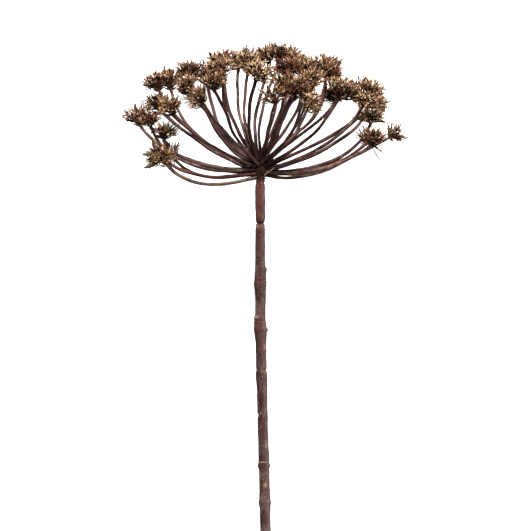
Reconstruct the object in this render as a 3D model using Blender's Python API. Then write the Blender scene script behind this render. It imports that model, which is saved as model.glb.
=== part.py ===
"""A dried wild carrot seed head on its cut stem, laid down on a surface with its front up.

The plant is worked out upright, in millimetres, in a frame of its own: the hub, where the rays
spring from the top of the stem, is the origin, x runs across the head, y points away from its
front, and z runs up the stem's line into the head. An empty then lays the plant on its back, so
that it rests on the stem's cut end and on a few umbellets of its far side.

The stem with the hub at its top is one solid. Each ray with the umbellet at its tip is another.
"""

import math

import bpy
import numpy as np

MM = 0.001
GAP = 0.3  # between a ray's root and the hub that it grew from

# --- the stem
STEM_LENGTH = 190.0  # from the hub to the middle of the cut
STEM_SIDES = 12
STEM_STEP = 8.0  # between rings where nothing happens
CLOSEST_RINGS = 0.8
STEM_WAVER = 0.25  # depth of its long slow waver, towards the front and away
WAVER_REACH = 17.0  # length of the stem in which the waver turns by one radian
OUT_OF_ROUND = 0.05  # depth of the three soft lobes of its section
SHOULDER = 1.4  # half lengths of a mark between its middle and the ring on each side of it
CUT_SLANT = 0.55  # rise of the cut across the stem, per millimetre
HUB_RADIUS = 2.9
HUB_HALF_HEIGHT = 5.2
HUB_CENTRE_UP = 1.2
HUB_LATITUDES = (-62, -42, -20, 5, 30, 55, 75)  # of its rings, in degrees
LOWEST_ROOT = -0.72  # sine of the latitude below which no ray springs from the hub

# How the stem runs: how far below the hub, how far across its middle lies, and its radius.
STEM_COURSE = np.array([
    (0.0, -0.10, 1.95),
    (19.0, -0.05, 1.93),
    (26.0, -0.02, 1.88),
    (38.0, -0.05, 1.88),
    (41.5, 0.12, 2.22),
    (49.0, -0.02, 2.30),
    (53.0, 0.02, 2.12),
    (60.3, 0.12, 2.05),
    (62.0, -0.20, 2.40),
    (68.5, 0.10, 2.42),
    (71.0, 0.17, 2.14),
    (79.5, 0.40, 2.10),
    (86.0, 0.56, 2.32),
    (92.0, 0.70, 2.12),
    (96.0, 0.84, 2.00),
    (112.0, 1.22, 2.06),
    (128.0, 1.60, 2.08),
    (150.0, 2.25, 2.18),
    (190.0, 3.70, 2.25),
])

# Joints, leaf scars and knocks down the stem: how far below the hub, how much the radius
# changes, half the length that it takes, and the side it is on (degrees from +x, or all round).
STEM_MARKS = [
    (21.8, -0.45, 0.9, None),
    (24.0, 0.10, 1.2, None),
    (40.3, 0.35, 0.9, 0),
    (46.6, 0.35, 1.4, None),
    (59.8, 0.25, 1.0, 180),
    (66.0, 0.34, 1.4, None),
    (83.2, -0.38, 0.8, None),
    (92.0, -0.35, 0.9, 175),
    (104.0, 0.15, 3.0, 90),
    (123.4, 0.38, 1.0, None),
    (138.8, 0.40, 1.2, None),
    (156.0, 0.45, 1.3, 60),
    (171.5, 0.50, 1.2, None),
]

# --- the rays and their umbellets
SIDES = 8
STALK_RINGS = 8
ROOT_RADIUS = 0.58
STALK_RADIUS = 0.50
UNEVEN = 0.03  # neighbouring stalks differ by this much
# The broad stalk is two or three grown together.
SPECIAL_STALKS = {"thick": 0.68, "stout": 0.82, "broad": 1.2}
ROOT_FADE = 1.3  # how fast the root's extra width goes, per ring
WIDE_FROM = 0.25  # share of its length at which a stalk has its own thickness
ROOT_SPACING = 1.52  # between the middles of two roots on the hub
ROOT_STAND_OFF = 0.35  # lets a slanting root ring keep its gap
DEPTH_PASSED = (0.40, 0.74)  # of its foot's depth, that a ray has reached at each third
UMBELLET_WIDTH = 4.5  # radius at its widest
UMBELLET = [(1.1, 0.32), (3.0, 0.80), (5.0, 1.00), (6.5, 0.68)]  # height, share of the width
UMBELLET_HEIGHT = 7.4
LOBE_OUT, LOBE_IN = 1.08, 0.90  # the seeds stand out in lobes

# Each umbellet: the place of its foot (across, up, front), the way it faces (across, up, front),
# where its ray passes at a third and at two thirds of its way (across, up), and what is special
# about the ray.
UMBELLETS = [
    ((-50.4, 19.8, -8), (-0.3, 0.95, -0.1), (-22, 3), (-39.5, 9.8), ""),
    ((-45.8, 19.3, 12), (-0.2, 0.9, 0.35), (-19.5, 0.7), (-35.5, 6.2), ""),
    ((-42.0, 26.0, -15), (-0.5, 0.85, -0.3), (-16.5, 7), (-30, 16), ""),
    ((-42.8, 34.9, -19), (-0.35, 0.9, -0.3), (-18, 9), (-32, 20), ""),
    ((-36.5, 23.9, 10), (-0.35, 0.9, 0.25), (-15, 8), (-26.5, 15), ""),
    ((-40.3, 13.9, 5), (0.1, 1.0, 0.2), (-19.5, 1.5), (-34.5, 7), ""),
    ((-40.5, 5.9, 10), (-0.85, 0.3, 0.3), (-15, -2.1), (-28, -1.0), "thick"),
    ((-37.0, 6.7, -5), (-0.2, 0.95, -0.1), (-13, -2.2), (-25, -1.5), ""),
    ((-39.1, 3.4, 18), (-0.1, 0.6, 0.75), (-14.5, -5), (-27.5, -4.5), ""),
    ((-37.8, 35.3, -25), (-0.2, 0.95, -0.3), (-18.5, 10), (-30.5, 20), ""),
    ((-30.2, 39.5, -28), (-0.1, 0.95, -0.35), (-13.5, 13), (-20, 22.5), ""),
    ((-29.4, 33.6, 5), (-0.4, 0.8, 0.4), (-14.5, 12), (-21.5, 23), ""),
    ((-23.5, 28.1, 28), (-0.6, 0.6, 0.5), (-10, 12), (-16.5, 18.5), ""),
    ((-22.5, 38.6, -31), (-0.1, 0.85, -0.5), (-12.8, 14.0), (-18.7, 23.3), "resting"),
    ((-19.3, 34.0, 22), (0.1, 0.95, 0.3), (-10.5, 15), (-13.5, 22.5), ""),
    ((-16.0, 44.5, -27), (-0.35, 0.9, -0.25), (-8.2, 15.5), (-13.4, 27.7), "thick"),
    ((-16.0, 40.7, 0), (-0.1, 0.85, 0.5), (-10.9, 16), (-14.5, 26), ""),
    ((-9.2, 43.7, -12), (0.0, 0.97, -0.1), (-7.5, 19.5), (-9.5, 32), ""),
    ((-5.0, 42.8, -5), (0.0, 0.9, 0.35), (-6, 19.5), (-6.5, 31), ""),
    ((-1.6, 38.6, 15), (0.35, 0.8, 0.5), (-4.5, 18.5), (-4.0, 29), "thick"),
    ((4.0, 47.0, -20), (-0.5, 0.85, -0.15), (-2.1, 21.5), (0.4, 33.5), ""),
    ((8.0, 47.0, -18), (0.05, 1.0, -0.1), (0, 21.5), (3.1, 33.5), ""),
    ((13.0, 46.2, -28), (0.3, 0.95, -0.3), (6.5, 21), (11.5, 33), ""),
    ((11.3, 40.7, 0), (0.0, 0.9, 0.4), (4.5, 19.5), (7.5, 30.5), ""),
    ((16.8, 41.2, -8), (0.15, 0.9, 0.3), (9.5, 16.3), (16, 27.3), "thick"),
    ((22.3, 41.2, -15), (0.25, 0.95, 0.1), (13.5, 14.5), (18.9, 24.5), "thick"),
    ((27.3, 42.8, -22), (0.7, 0.7, -0.2), (16, 17), (25.5, 27.5), ""),
    ((27.3, 39.9, -5), (0.85, 0.45, 0.2), (15.2, 15.6), (23.8, 26), ""),
    ((20.2, 34.4, 14), (0.2, 0.85, 0.5), (11.5, 14), (16, 23), "thick"),
    ((10.5, 33.2, 22), (0.0, 0.85, 0.5), (5, 14.5), (8, 22.5), ""),
    ((14.2, 31.0, 30), (0.25, 0.85, 0.3), (6.3, 14.5), (9.1, 22.5), "broad"),
    ((6.3, 28.1, 34), (-0.2, 0.9, 0.35), (3, 16), (4.5, 22), ""),
    ((18.5, 26.0, 38), (0.7, 0.45, 0.55), (11.5, 13.5), (15.5, 19.5), ""),
    ((32.3, 30.6, -31), (-0.45, 0.8, -0.45), (15, 14.5), (25, 22.5), "resting"),
    ((32.8, 30.7, 5), (0.3, 0.9, 0.1), (17, 11.5), (26, 20), ""),
    ((42.4, 30.6, -22), (-0.6, 0.8, -0.1), (18.5, 9.5), (36, 19.3), ""),
    ((44.9, 32.3, -18), (0.55, 0.8, -0.15), (20.5, 6.4), (39, 17.8), "thick"),
    ((43.7, 28.1, 4), (0.2, 0.85, 0.4), (16.5, 5.6), (31.5, 14.3), ""),
    ((45.5, 27.5, -6), (0.92, 0.38, 0.2), (16.5, 5.8), (31.5, 14.5), ""),
    ((46.6, 21.0, -2), (0.0, 1.0, 0.15), (20, 1.3), (36.5, 8), "stout"),
    ((46.6, 10.9, 12), (0.3, 0.85, 0.3), (18, -0.4), (32.5, 3.3), "stout"),
    ((44.5, 12.0, -14), (0.2, 0.6, -0.7), (17.5, 0), (32, 4), ""),
    ((54.2, 14.3, 3), (0.8, 0.5, 0.05), (21, -1.2), (38.5, 5.8), "thick"),
    ((-30.0, 33.0, -36), (-0.3, 0.7, -0.6), (-13.5, 13), (-20, 22.5), "resting"),
    ((10.5, 33.0, -38), (0.1, 0.7, -0.65), (5, 14.5), (8, 22.5), "resting"),
    ((18.5, 31.5, -36), (0.2, 0.7, -0.6), (9.3, 16.3), (15.4, 26), "resting"),
]

# --- how the rays make room for each other, and how the plant lies
ROUNDS = 120
ROOT_YIELD = 0.12  # how far a root turns on the hub, per millimetre that it lacks
STALK_YIELD = 0.30  # how far a stalk's handle moves, per millimetre of push on the stalk
TIP_YIELD = 0.6  # how far an umbellet moves, per millimetre of push on it
HOLD_DOWN = 0.5  # share of its height that a resting umbellet drops in a round
PULL_HOME = 0.10  # share of the way back, across and up, that a ray is drawn in a round
CLEARANCE = 0.35  # wanted between neighbours, in millimetres
ROOM_SAMPLES = 32  # points along a stalk that are kept clear
UMBELLET_ROOM = 4.75  # radius of the ball kept clear for an umbellet, about its middle
UMBELLET_MIDDLE = 4.3  # height of that middle above the foot
FREE_ACROSS = 0.22  # a ray gives way mostly in depth, hardly across or up
LYING_ANGLE = math.radians(10.0)  # between the stem's line and the surface
ABOVE_SURFACE = 0.4  # least height of an umbellet that doesn't rest

STEM_COLOUR = (0.126, 0.052, 0.038, 1.0)
HEAD_COLOURS = [(0.30, 0.165, 0.075, 1.0), (0.22, 0.105, 0.05, 1.0), (0.15, 0.065, 0.04, 1.0)]

HEIGHT_ABOVE = np.array([0.0, -math.cos(LYING_ANGLE), math.sin(LYING_ANGLE)])


def unit(vectors):
    """Each vector divided by its length."""
    vectors = np.asarray(vectors, float)
    return vectors / np.linalg.norm(vectors, axis=-1, keepdims=True)


def placed(triples):
    """(across, up, front) triples as points of the plant's frame."""
    across, up, front = np.asarray(triples, float).T
    return np.stack([across, -front, up], axis=1)


def material(name, colour, roughness):
    """A Principled material of one dry, matt plant colour."""
    made = bpy.data.materials.new(name)
    made.use_nodes = True
    shader = made.node_tree.nodes["Principled BSDF"]
    shader.inputs["Base Color"].default_value = colour
    shader.inputs["Roughness"].default_value = roughness
    shader.inputs["Metallic"].default_value = 0.0
    return made


def loft(rings, apex=None):
    """One closed solid through equal rings of points, capped by a flat face or an apex.

    Rings run from the last one back to the first, anticlockwise seen from the first one's side.
    """
    rings = np.asarray(rings, float)
    count, sides = rings.shape[:2]
    points = [tuple(p) for p in rings.reshape(-1, 3)]
    faces = [tuple(range(sides))[::-1]]
    for level in range(count - 1):
        for side in range(sides):
            beside = (side + 1) % sides
            low, high = level * sides, (level + 1) * sides
            faces.append((low + side, low + beside, high + beside, high + side))
    last = (count - 1) * sides
    if apex is None:
        faces.append(tuple(range(last, last + sides)))
    else:
        points.append(tuple(apex))
        for side in range(sides):
            faces.append((last + side, last + (side + 1) % sides, len(points) - 1))
    return points, faces


def add_object(name, points, faces, colour, origin, parent):
    """A smooth-shaded object of its own, with its origin at a point of the plant's frame."""
    mesh = bpy.data.meshes.new(name)
    mesh.from_pydata([tuple((np.asarray(p) - origin) * MM) for p in points], [], faces)
    mesh.shade_smooth()
    mesh.set_sharp_from_angle(angle=math.radians(50))
    thing = bpy.data.objects.new(name, mesh)
    mesh.materials.append(material(name, colour, 0.75))
    bpy.context.collection.objects.link(thing)
    thing.parent = parent
    thing.location = [c * MM for c in origin]
    return thing


# --- stem


def stem_line(below):
    """The stem's middle, below the hub: across as tabled, with a slow waver in depth."""
    across = np.interp(below, STEM_COURSE[:, 0], STEM_COURSE[:, 1])
    waver = STEM_WAVER * math.sin(below / WAVER_REACH) * min(1.0, below / WAVER_REACH)
    return np.array([across, waver, -below])


def stem_radius(below, angle):
    """The tabled radius, slightly out of round, with each mark's bump or notch added."""
    radius = np.interp(below, STEM_COURSE[:, 0], STEM_COURSE[:, 2])
    radius += OUT_OF_ROUND * math.sin(3 * angle + below / 9.0)
    for place, change, half_length, side in STEM_MARKS:
        fade = math.exp(-((below - place) / half_length) ** 2)
        facing = 1.0
        if side is not None:
            facing = max(0.0, math.cos(angle - math.radians(side))) ** 2
        radius += change * fade * facing
    return radius


def stem_levels():
    """Ring heights: even steps and the tabled places, plus each mark's middle and shoulders."""
    levels = [*np.arange(6.0, STEM_LENGTH - 3.0, STEM_STEP), *STEM_COURSE[1:-1, 0]]
    for place, _, half_length, _ in STEM_MARKS:
        shoulder = SHOULDER * half_length
        levels = [at for at in levels if abs(at - place) > shoulder + CLOSEST_RINGS]
        levels += [place - shoulder, place, place + shoulder]
    levels.sort()
    apart = [levels[0]]
    for level in levels[1:]:
        if level - apart[-1] > CLOSEST_RINGS:
            apart.append(level)
    return apart


def stem_rings():
    """Rings from the cut end up to the swollen hub, and the hub's top point."""
    angles = np.arange(STEM_SIDES) * 2 * math.pi / STEM_SIDES
    rings = []
    for below in [STEM_LENGTH] + stem_levels()[::-1]:
        ring = []
        for angle in angles:
            out = np.array([math.cos(angle), math.sin(angle), 0.0])
            point = stem_line(below) + out * stem_radius(below, angle)
            if below == STEM_LENGTH:
                point[2] -= CUT_SLANT * out[0] * STEM_COURSE[-1, 2]
            ring.append(point)
        rings.append(ring)
    for degrees in HUB_LATITUDES:
        latitude = math.radians(degrees)
        up = HUB_CENTRE_UP + HUB_HALF_HEIGHT * math.sin(latitude)
        radius = HUB_RADIUS * math.cos(latitude)
        rings.append([(radius * math.cos(a), radius * math.sin(a), up) for a in angles])
    return rings, (0.0, 0.0, HUB_CENTRE_UP + HUB_HALF_HEIGHT)


# --- rays: their curves


def hub_point(directions, offset):
    """Where parametric directions meet the hub's ellipsoid, moved out along its normal."""
    size = np.array([HUB_RADIUS, HUB_RADIUS, HUB_HALF_HEIGHT])
    normal = unit(directions / size)
    on_hub = directions * size + np.array([0.0, 0.0, HUB_CENTRE_UP])
    return on_hub + normal * offset, normal


def spread_roots(directions):
    """Directions nudged apart until the roots that they give stand clear of each other."""
    directions = directions.copy()
    for _ in range(ROUNDS):
        roots, _ = hub_point(directions, GAP)
        away = roots[:, None] - roots[None]
        apart = np.linalg.norm(away, axis=2) + np.eye(len(roots)) * 99.0
        push = np.maximum(0.0, ROOT_SPACING - apart)
        nudge = (away / apart[..., None] * push[..., None]).sum(axis=1)
        directions = unit(directions + ROOT_YIELD * nudge)
        directions[:, 2] = np.maximum(directions[:, 2], LOWEST_ROOT)
    return unit(directions)


def bezier_weights(parameters):
    """The four Bernstein weights of a cubic curve at each parameter."""
    t = np.asarray(parameters)[:, None]
    return np.hstack([(1 - t) ** 3, 3 * t * (1 - t) ** 2, 3 * t * t * (1 - t), t**3])


def handles(roots, thirds, feet):
    """The two handles of the cubic curves that run from root to foot through both thirds."""
    near, far = thirds
    leaving = (-5 * roots + 18 * near - 9 * far + 2 * feet) / 6
    arriving = (2 * roots - 9 * near + 18 * far - 5 * feet) / 6
    return leaving, arriving


def ray_controls(feet, passes):
    """Control points of every ray's curve: root, two handles and the umbellet's foot.

    The ray passes its two places (across, up) at a third and two thirds of the curve, at a
    share of its foot's depth. Curves from the hub's middle show how each ray leaves the hub.
    """
    passes = np.asarray(passes, float)
    thirds = [
        np.column_stack([passes[:, k, 0], share * feet[:, 1], passes[:, k, 1]])
        for k, share in enumerate(DEPTH_PASSED)
    ]
    middle = np.array([0.0, 0.0, HUB_CENTRE_UP]) * np.ones_like(feet)
    leaving = unit(handles(middle, thirds, feet)[0] - middle)
    roots, _ = hub_point(spread_roots(leaving), GAP + ROOT_STAND_OFF)
    return np.stack([roots, *handles(roots, thirds, feet), feet], axis=1)


def floor_height(stem_points):
    """The surface's height in the lying plant: it touches the stem's lowest point."""
    return min(np.dot(HEIGHT_ABOVE, p) for p in stem_points)


def widening(thickness, along):
    """A stalk's radius: its own thickness, reached from the usual one soon after the root."""
    return STALK_RADIUS + (thickness - STALK_RADIUS) * np.clip(along / WIDE_FROM, 0.0, 1.0)


def make_room(control, facing, thickness, resting, floor):
    """Ease the rays apart until their stalks and umbellets stand clear of each other.

    A stalk is a row of small balls along its curve, and an umbellet is one large ball. Balls
    of two rays that are too near push each other off. A push on a stalk moves its handles by
    their Bernstein weights, and a push on an umbellet moves its foot. Both give way mostly in
    depth, and are drawn back to their own place across and up. The surface pushes up, and an
    umbellet that rests is held down on it.
    """
    control = control.copy()
    home = control.copy()
    count = len(control)
    weights = bezier_weights(np.linspace(0.0, 0.97, ROOM_SAMPLES))
    radii = np.full((count, ROOM_SAMPLES + 1), UMBELLET_ROOM)
    radii[:, :-1] = widening(thickness[:, None], np.linspace(0.0, 0.97, ROOM_SAMPLES))
    radii = radii.ravel()
    wanted = radii[:, None] + radii[None] + CLEARANCE
    owner = np.repeat(np.arange(count), ROOM_SAMPLES + 1)
    others = owner[:, None] != owner[None]
    freedom = np.array([FREE_ACROSS, 1.0, FREE_ACROSS])
    for _ in range(ROUNDS):
        stalks = np.einsum("sk,nkd->nsd", weights, control)
        middles = control[:, 3] + facing * UMBELLET_MIDDLE
        balls = np.concatenate([stalks, middles[:, None]], axis=1).reshape(-1, 3)
        away = balls[:, None] - balls[None]
        apart = np.sqrt((away**2).sum(axis=2)) + 1e-9
        push = np.where(others, np.maximum(0.0, wanted - apart), 0.0)
        nudge = 0.5 * (away * (push / apart)[..., None]).sum(axis=1)
        height = balls @ HEIGHT_ABOVE - floor - radii - ABOVE_SURFACE
        nudge += np.maximum(0.0, -height)[:, None] * HEIGHT_ABOVE
        nudge = np.clip(nudge, -1.0, 1.0).reshape(count, -1, 3)
        moved = TIP_YIELD * nudge[:, -1] * freedom
        down = (middles[resting] @ HEIGHT_ABOVE - floor - UMBELLET_WIDTH)[:, None]
        moved[resting] -= HOLD_DOWN * down * HEIGHT_ABOVE
        control[:, 2:] += moved[:, None]
        for handle in (1, 2):
            push = np.einsum("s,nsd->nd", weights[:, handle], nudge[:, :-1])
            control[:, handle] += STALK_YIELD * push * freedom
        control[:, 1:, ::2] += PULL_HOME * (home - control)[:, 1:, ::2]
    return control


# --- rays: their solids


def carried_frames(line, start):
    """At each point of a line, two axes across it, carried along without twisting."""
    tangents = unit(np.gradient(line, axis=0))
    tangents[0] = start
    side = unit(np.cross(tangents[0], (0.31, 0.17, 0.93)))
    frames = []
    for tangent in tangents:
        side = unit(side - tangent * np.dot(side, tangent))
        frames.append((side, np.cross(tangent, side)))
    return frames


def ring_about(middle, frame, radii):
    """A ring of points round a middle, with one radius for each side."""
    angles = np.arange(SIDES) * 2 * math.pi / SIDES
    side, over = frame
    ring = np.outer(np.cos(angles) * radii, side) + np.outer(np.sin(angles) * radii, over)
    return middle + ring


def ray_solid(control, facing, thickness):
    """The stalk along its curve, widening at the tip into the lobed umbellet."""
    line = bezier_weights(np.linspace(0.0, 1.0, STALK_RINGS)) @ control
    frames = carried_frames(line, unit(control[1] - control[0]))
    rings = []
    for level, middle in enumerate(line):
        root = math.exp(-level * ROOT_FADE) * (ROOT_RADIUS - STALK_RADIUS)
        radius = widening(thickness, level / (STALK_RINGS - 1)) + root
        rings.append(ring_about(middle, frames[level], np.full(SIDES, radius)))
    side = unit(frames[-1][0] - facing * np.dot(frames[-1][0], facing))
    frame = (side, np.cross(facing, side))
    for level, (height, share) in enumerate(UMBELLET):
        lobes = np.where((np.arange(SIDES) + level) % 2, LOBE_IN, LOBE_OUT)
        rings.append(
            ring_about(control[3] + facing * height, frame, lobes * share * UMBELLET_WIDTH)
        )
    return rings, control[3] + facing * UMBELLET_HEIGHT


def lowest(rings, apex):
    """The least height of a solid in the lying plant."""
    points = np.vstack([np.reshape(rings, (-1, 3)), [apex]])
    return (points @ HEIGHT_ABOVE).min()


def set_down(control, facing, thickness, rests, floor):
    """Move a ray's tip up or down so that it touches the surface, or stays clear of it."""
    for _ in range(3):
        height = lowest(*ray_solid(control, facing, thickness)) - floor
        shift = -height if rests else max(0.0, ABOVE_SURFACE - height)
        control[2:] += shift * HEIGHT_ABOVE
    return control


def build():
    """Make the stem and the rays, lay the plant down, and centre it on the surface."""
    for thing in list(bpy.data.objects):
        bpy.data.objects.remove(thing)

    plant = bpy.data.objects.new("plant_frame", None)
    bpy.context.collection.objects.link(plant)

    rings, top = stem_rings()
    solids = [("stem", *loft(rings, top), STEM_COLOUR, np.zeros(3))]
    floor = floor_height(solids[0][1])

    feet, facing, *passes, notes = zip(*UMBELLETS)
    feet, facing = placed(feet), unit(placed(facing))
    resting = np.array([note == "resting" for note in notes])
    control = ray_controls(feet, np.stack(passes, axis=1))
    usual = [STALK_RADIUS + UNEVEN * (index % 3) for index in range(len(notes))]
    thickness = np.array([SPECIAL_STALKS.get(note, own) for note, own in zip(notes, usual)])
    control = make_room(control, facing, thickness, resting, floor)
    for index, thick in enumerate(thickness):
        curve = set_down(control[index], facing[index], thick, resting[index], floor)
        points, faces = loft(*ray_solid(curve, facing[index], thick))
        colour = HEAD_COLOURS[index % len(HEAD_COLOURS)]
        solids.append((f"ray_{index + 1:02d}", points, faces, colour, curve[0]))

    for name, points, faces, colour, origin in solids:
        add_object(name, points, faces, colour, origin, plant)

    # lay the plant down: the stem's line ends up along +Y, a little above level
    plant.rotation_euler = (LYING_ANGLE - math.pi / 2, 0.0, 0.0)
    turn = plant.rotation_euler.to_matrix()
    lying = np.vstack([points for _, points, *_ in solids]) @ np.array(turn).T
    low, high = lying.min(axis=0), lying.max(axis=0)
    middle = (low + high) / 2
    plant.location = (-middle[0] * MM, -middle[1] * MM, -low[2] * MM)


build()
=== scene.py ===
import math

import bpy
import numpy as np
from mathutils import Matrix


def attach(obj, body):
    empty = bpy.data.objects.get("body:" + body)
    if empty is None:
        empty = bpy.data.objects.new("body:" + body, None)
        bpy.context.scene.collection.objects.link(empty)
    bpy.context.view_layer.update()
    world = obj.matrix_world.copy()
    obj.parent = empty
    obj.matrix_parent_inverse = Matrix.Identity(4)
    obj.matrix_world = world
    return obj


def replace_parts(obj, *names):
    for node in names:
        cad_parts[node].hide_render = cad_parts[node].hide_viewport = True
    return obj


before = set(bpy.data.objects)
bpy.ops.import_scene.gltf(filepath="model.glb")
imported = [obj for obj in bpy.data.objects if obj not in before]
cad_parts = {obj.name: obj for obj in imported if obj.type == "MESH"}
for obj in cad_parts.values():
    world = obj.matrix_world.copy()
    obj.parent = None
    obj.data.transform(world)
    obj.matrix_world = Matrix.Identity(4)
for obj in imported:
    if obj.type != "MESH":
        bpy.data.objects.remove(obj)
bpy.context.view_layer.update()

# A dried wild carrot seed head on its cut stem, lying on its back on a pale floor.
#
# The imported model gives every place: the stem's rings of corners, each ray's curve, and where
# each umbellet stands and which way it faces. Round them this script grows the fine surfaces:
# ribbed bark, grooved stalks, and umbellets of pedicels, bracts and bristly seeds.
# Lengths are in millimetres until a mesh is written.

MM = 0.001
ACROSS = np.array([1.0, 0.0, 0.0])
FULL_TURN = 2 * math.pi
GOLDEN_ANGLE = math.radians(137.508)  # from one leaf or fruit to the next, round a stem

# --- the frame's own lines


def unit(vectors):
    """Each vector divided by its length."""
    vectors = np.asarray(vectors, float)
    return vectors / np.linalg.norm(vectors, axis=-1, keepdims=True)


def merged(node):
    """A node's corners in millimetres with doubles merged, and which corners share an edge."""
    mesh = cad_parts[node].data
    corners = np.array([corner.co for corner in mesh.vertices]) / MM
    edges = np.array([edge.vertices for edge in mesh.edges])
    rough = np.round(corners, 3)
    _, first, same = np.unique(rough, axis=0, return_index=True, return_inverse=True)
    ends = same.reshape(-1)[edges].T
    near = np.zeros((len(first), len(first)), bool)
    near[ends, ends[::-1]] = True
    return corners[first], near


def edges_away(near, start):
    """How many edges lie between one corner and each of the others."""
    steps = np.full(len(near), -1)
    front = np.arange(len(near)) == start
    level = 0
    while front.any():
        steps[front] = level
        level += 1
        front = near[front].any(axis=0) & (steps < 0)
    return steps


def rings_of(node, sides):
    """The node's rings of corners from its root to its tip, and its apex.

    The apex is the corner from which every count of edges reaches one whole ring.
    """
    corners, near = merged(node)
    for start in range(len(corners)):
        steps = edges_away(near, start)
        if (np.bincount(steps)[1:] == sides).all():
            break
    else:
        raise ValueError(f"{node} has no apex with rings of {sides} corners")
    rings = [corners[steps == level] for level in range(steps.max(), 0, -1)]
    return np.array(rings), corners[start]


STEM_SIDES = 12
RAY_SIDES = 8
HUB_RINGS = 7
HUB_TOP_UP = 6.4  # from the hub's middle, where the rays aim, to its top

stem_rings, stem_top = rings_of("stem", STEM_SIDES)
UP = unit(stem_top - stem_rings[-HUB_RINGS].mean(axis=0))  # along the stem into the head
FRONT = np.cross(ACROSS, UP)  # towards the viewer of a front view
HUB = stem_top - UP * HUB_TOP_UP
PLANT = np.array([ACROSS, UP, FRONT])  # (across, up, front) @ PLANT is a direction


def in_plant(points):
    """Points of the row frame as (across, up, front) from the hub."""
    return (points - HUB) @ PLANT.T


def out_of_plant(places):
    """(across, up, front) from the hub as points of the row frame."""
    return HUB + np.asarray(places, float) @ PLANT


# --- surfaces as whole arrays


def smooth_step(share):
    """3 t^2 - 2 t^3 for t held between 0 and 1."""
    share = np.clip(share, 0.0, 1.0)
    return share * share * (3.0 - 2.0 * share)


def lattice_noise(around, along, cells, pitch, seed):
    """Smooth random relief between -1 and 1 over a tube, without a seam round it.

    Random values stand on a lattice with so many cells round the tube and one every pitch
    along it. Between them the value is the smooth-step blend of the nearest four.
    """
    u = np.asarray(around) / FULL_TURN * cells
    v = np.asarray(along) / pitch
    v = v - v.min()
    values = np.random.default_rng(seed).uniform(-1, 1, (cells, int(v.max()) + 2))
    low_u, low_v = np.floor(u).astype(int), np.floor(v).astype(int)
    share_u, share_v = smooth_step(u - low_u), smooth_step(v - low_v)
    low_u, next_u = low_u % cells, (low_u + 1) % cells
    low = values[low_u, low_v] * (1 - share_v) + values[low_u, low_v + 1] * share_v
    high = values[next_u, low_v] * (1 - share_v) + values[next_u, low_v + 1] * share_v
    return low * (1 - share_u) + high * share_u


def bezier(controls, shares):
    """Points of many Bezier curves, (curves, controls, 3), at the same shares of 0 to 1 in each."""
    degree = controls.shape[1] - 1
    steps = range(degree + 1)
    weights = [math.comb(degree, k) * shares**k * (1 - shares) ** (degree - k) for k in steps]
    return np.einsum("km,nkd->nmd", np.array(weights), controls)


ODD_WAY = np.array([0.31, 0.17, 0.93])  # settles which way a straight path's plane lies


def frames_along(paths):
    """Two axes across each path at each of its points, which hardly twist along it.

    One axis stays near the normal of the plane that the path bends in.
    """
    tangents = unit(np.gradient(paths, axis=1))
    plane = np.cross(tangents[:, 0], tangents[:, -1])
    plane = plane + 1e-4 * np.cross(tangents[:, 0], ODD_WAY)
    sides = unit(np.cross(unit(plane)[:, None], tangents))
    return sides, np.cross(tangents, sides)


def tube_faces(rings, count):
    """One tube's faces: four corners each between its rings, and a fan to each of its poles.

    Corner j of ring i is point i * count + j. The near and the far pole come after the rings.
    """
    low = np.arange((rings - 1) * count).reshape(-1, count)
    beside = np.roll(low, -1, axis=1)
    quads = np.stack([low, beside, beside + count, low + count], axis=-1).reshape(-1, 4)
    first, last = np.arange(count), (rings - 1) * count + np.arange(count)
    near_pole = np.full(count, rings * count)
    near_fan = np.column_stack([np.roll(first, -1), first, near_pole])
    far_fan = np.column_stack([last, np.roll(last, -1), near_pole + 1])
    return quads, np.vstack([near_fan, far_fan])


def tubes(paths, radii, count, flat=1.0):
    """Closed tubes along many paths at once, each with a pole at both ends.

    point(i, j) = path(i) + r(i, j) (cos a(j) side(i) + flat sin a(j) over(i)), for count angles.
    The last path point is the far pole itself. Returns points, faces and two parameters of
    every point of one tube: its share along the tube and its angle round it.
    """
    sides, overs = frames_along(paths)
    rings = paths.shape[1] - 1
    angles = np.arange(count) * FULL_TURN / count
    radii = np.asarray(radii, float)
    radii = radii[..., None] if radii.ndim == 2 else radii
    spread = (np.cos(angles) * radii)[..., None] * sides[:, :rings, None]
    spread = spread + (flat * np.sin(angles) * radii)[..., None] * overs[:, :rings, None]
    body = (paths[:, :rings, None] + spread).reshape(len(paths), -1, 3)
    points = np.concatenate([body, paths[:, :1], paths[:, -1:]], axis=1)
    share = np.append(np.repeat(np.arange(rings) / rings, count), [0.0, 1.0])
    angle = np.append(np.tile(angles, rings), [0.0, 0.0])
    offsets = np.arange(len(paths))[:, None, None] * points.shape[1]
    faces = [(each + offsets).reshape(-1, each.shape[1]) for each in tube_faces(rings, count)]
    return points, faces, share, angle


def curved_tubes(controls, profile, count, flat=1.0):
    """Tubes along Bezier curves, one ring for each radius of the profile, as tubes() gives them."""
    profile = np.atleast_2d(profile)
    lines = bezier(controls, np.linspace(0, 1, profile.shape[1] + 1))
    return tubes(lines, profile, count, flat)[:3]


def placed(name, data):
    """A new object at the origin of the scene, unturned, that shows the data."""
    made = bpy.data.objects.new(name, data)
    bpy.context.scene.collection.objects.link(made)
    return made


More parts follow.
